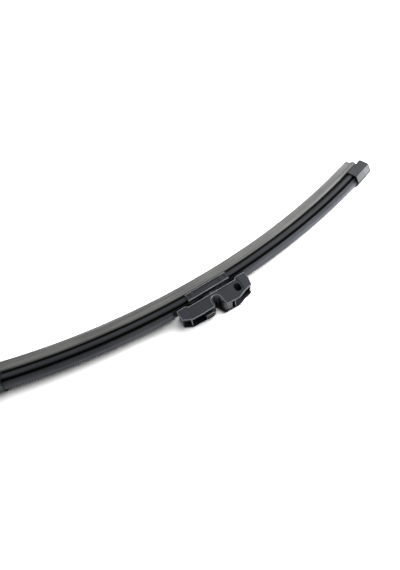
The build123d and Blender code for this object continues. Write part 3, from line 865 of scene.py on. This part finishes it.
def add_sky(scene):
    """Even light that is stronger from above and behind, in front of a white background."""
    studio = scene.blade_studio
    scene.world = scene.world or bpy.data.worlds.new("Studio")
    scene.world.use_nodes = True
    tree = scene.world.node_tree
    tree.nodes.clear()
    bearing = node(tree, "ShaderNodeVectorMath", {
        0: node(tree, "ShaderNodeTexCoord").outputs["Generated"], 1: SKY_BEARING,
    }, operation="DOT_PRODUCT").outputs["Value"]
    light = ramp(tree, bearing, (0.0, 1.0), (studio.sky_front, studio.sky_back))
    even = node(tree, "ShaderNodeBackground", {"Color": WHITE, "Strength": light}).outputs[0]
    white = node(tree, "ShaderNodeBackground", {"Color": WHITE, "Strength": 1.0}).outputs[0]
    shown = node(tree, "ShaderNodeMixShader", {0: seen_rays(tree), 1: even, 2: white})
    node(tree, "ShaderNodeOutputWorld", {"Surface": shown.outputs[0]})


def add_camera(scene):
    """The camera of the photograph."""
    studio = scene.blade_studio
    camera = bpy.data.cameras.new("camera")
    camera.lens = studio.lens
    camera.clip_start = CLIP_START
    held = bpy.data.objects.new("camera", camera)
    held.location = studio.camera_place
    turn = Matrix.Rotation(studio.azimuth, 3, "Z")
    tilt = Matrix.Rotation(math.pi / 2 - studio.elevation, 3, "X")
    roll = Matrix.Rotation(studio.roll, 3, "Z")
    held.rotation_euler = (turn @ tilt @ roll).to_euler()
    scene.collection.objects.link(held)
    scene.camera = held


class BLADE_OT_rubber(bpy.types.Operator):
    """Extrudes the wiping rubber along the bow"""

    bl_idname = "wiper_blade.rubber"
    bl_label = "Wiping rubber"

    def execute(self, context):
        scene = context.scene
        size, bow, finish = scene.blade_rubber, scene.blade_bow, scene.blade_finish
        material = extruded_material(
            "Matt wiping rubber", finish.rubber_dark, finish.rubber_light, finish.rubber_roughness,
            size.streak_depth, rubber_painted_shade(size),
        )
        piece = extruded_piece(
            "wiping_rubber", {"Body": rubber_section(size)},
            {"Body": (-bow.reach, bow.reach)}, material, bow,
        )
        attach(piece, "blade")
        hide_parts("wiper_rubber")
        return {"FINISHED"}


class BLADE_OT_spoilers(bpy.types.Operator):
    """Extrudes both spoilers along the bow, each with its fin cut back beside the adapter"""

    bl_idname = "wiper_blade.spoilers"
    bl_label = "Spoilers"

    def execute(self, context):
        scene = context.scene
        size, bow, finish = scene.blade_spoiler, scene.blade_bow, scene.blade_finish
        material = extruded_material(
            "Satin spoiler elastomer", finish.spoiler_dark, finish.spoiler_light,
            finish.spoiler_roughness, size.streak_depth, spoiler_light_and_shade(size), SPOILER_CUT_TONE,
        )
        loops = {"Foot": spoiler_foot(size), "Fin": spoiler_fin(size)}
        sides = {
            "spoiler_left": ("spoiler_extrusion_left", {
                "Foot": (-bow.reach, -size.foot_start), "Fin": (-bow.reach, -size.fin_start_left),
            }),
            "spoiler_right": ("spoiler_extrusion_right", {
                "Foot": (size.foot_start, bow.reach), "Fin": (size.fin_start_right, bow.reach),
            }),
        }
        for replaced, (name, stretches) in sides.items():
            piece = extruded_piece(name, loops, stretches, material, bow)
            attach(piece, "blade")
            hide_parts(replaced)
        return {"FINISHED"}


class BLADE_OT_rails(bpy.types.Operator):
    """Finishes the spring rails in rolled steel"""

    bl_idname = "wiper_blade.rails"
    bl_label = "Spring rails"

    def execute(self, context):
        finish = context.scene.blade_finish
        material = steel_material(
            "Rolled spring steel", finish.steel, finish.steel_roughness, ROLLED_STRETCH
        )
        for name in ("rail_upper", "rail_lower"):
            finish_node(name, material)
        return {"FINISHED"}


class BLADE_OT_connector(bpy.types.Operator):
    """Finishes the base, the adapter, the release button and the pivot pin"""

    bl_idname = "wiper_blade.connector"
    bl_label = "Connector"

    def execute(self, context):
        finish = context.scene.blade_finish
        moulded = moulded_material(
            "Moulded connector plastic", finish.plastic, finish.plastic_edge_highlight,
            finish.plastic_roughness, finish.plastic_gloss,
        )
        button = moulded_material(
            "Moulded button plastic", finish.button, finish.plastic_edge_highlight,
            finish.button_roughness, finish.button_gloss,
        )
        pin = steel_material("Turned pin steel", finish.pin, finish.steel_roughness, TURNED_STRETCH)
        finish_node("connector_base", moulded)
        finish_node("adapter", moulded)
        finish_node("latch_lever", button)
        finish_node("pivot_pin", pin)
        return {"FINISHED"}


class BLADE_OT_caps(bpy.types.Operator):
    """Finishes the end caps in moulded plastic"""

    bl_idname = "wiper_blade.caps"
    bl_label = "End caps"

    def execute(self, context):
        finish = context.scene.blade_finish
        material = moulded_material(
            "Moulded cap plastic", finish.cap, finish.plastic_edge_highlight,
            finish.cap_roughness, finish.cap_gloss,
        )
        for name in ("end_cap_left", "end_cap_right"):
            finish_node(name, material)
        return {"FINISHED"}


class BLADE_OT_studio(bpy.types.Operator):
    """Sets up the pale floor, the soft lamps, the even light and the camera"""

    bl_idname = "wiper_blade.studio"
    bl_label = "Studio"

    def execute(self, context):
        scene = context.scene
        studio = scene.blade_studio
        add_floor(scene)
        add_lamp("key", studio.key_place, studio.key_power, studio.key_width)
        add_lamp("low", studio.low_place, studio.low_power, studio.low_width)
        add_sky(scene)
        add_camera(scene)
        scene.view_settings.view_transform = "Standard"
        return {"FINISHED"}


OPERATORS = (
    BLADE_OT_rubber, BLADE_OT_spoilers, BLADE_OT_rails, BLADE_OT_connector, BLADE_OT_caps, BLADE_OT_studio,
)
GROUPS = {
    "blade_bow": BowSizes,
    "blade_rubber": RubberSizes,
    "blade_spoiler": SpoilerSizes,
    "blade_connector": ConnectorSizes,
    "blade_finish": Finishes,
    "blade_studio": StudioSizes,
}


class BLADE_PT_panel(bpy.types.Panel):
    """Lists the steps and the values of the wiper blade"""

    bl_idname = "BLADE_PT_panel"
    bl_label = "Wiper blade"
    bl_space_type = "VIEW_3D"
    bl_region_type = "UI"
    bl_category = "Wiper blade"

    def draw(self, context):
        for operator in OPERATORS:
            self.layout.operator(operator.bl_idname)
        for name, group in GROUPS.items():
            box = self.layout.box()
            for key in group.__annotations__:
                box.prop(getattr(context.scene, name), key)


def register():
    """Adds the values to the scene, and the steps and the panel to Blender."""
    for name, group in GROUPS.items():
        bpy.utils.register_class(group)
        setattr(bpy.types.Scene, name, PointerProperty(type=group))
    for kind in (*OPERATORS, BLADE_PT_panel):
        bpy.utils.register_class(kind)


def unregister():
    """Takes away what register added."""
    for kind in (BLADE_PT_panel, *reversed(OPERATORS)):
        bpy.utils.unregister_class(kind)
    for name, group in GROUPS.items():
        delattr(bpy.types.Scene, name)
        bpy.utils.unregister_class(group)


def main():
    """Builds the whole scene."""
    register()
    bpy.ops.wiper_blade.rubber()
    bpy.ops.wiper_blade.spoilers()
    bpy.ops.wiper_blade.rails()
    bpy.ops.wiper_blade.connector()
    bpy.ops.wiper_blade.caps()
    bpy.ops.wiper_blade.studio()


if __name__ == "__main__":
    main()
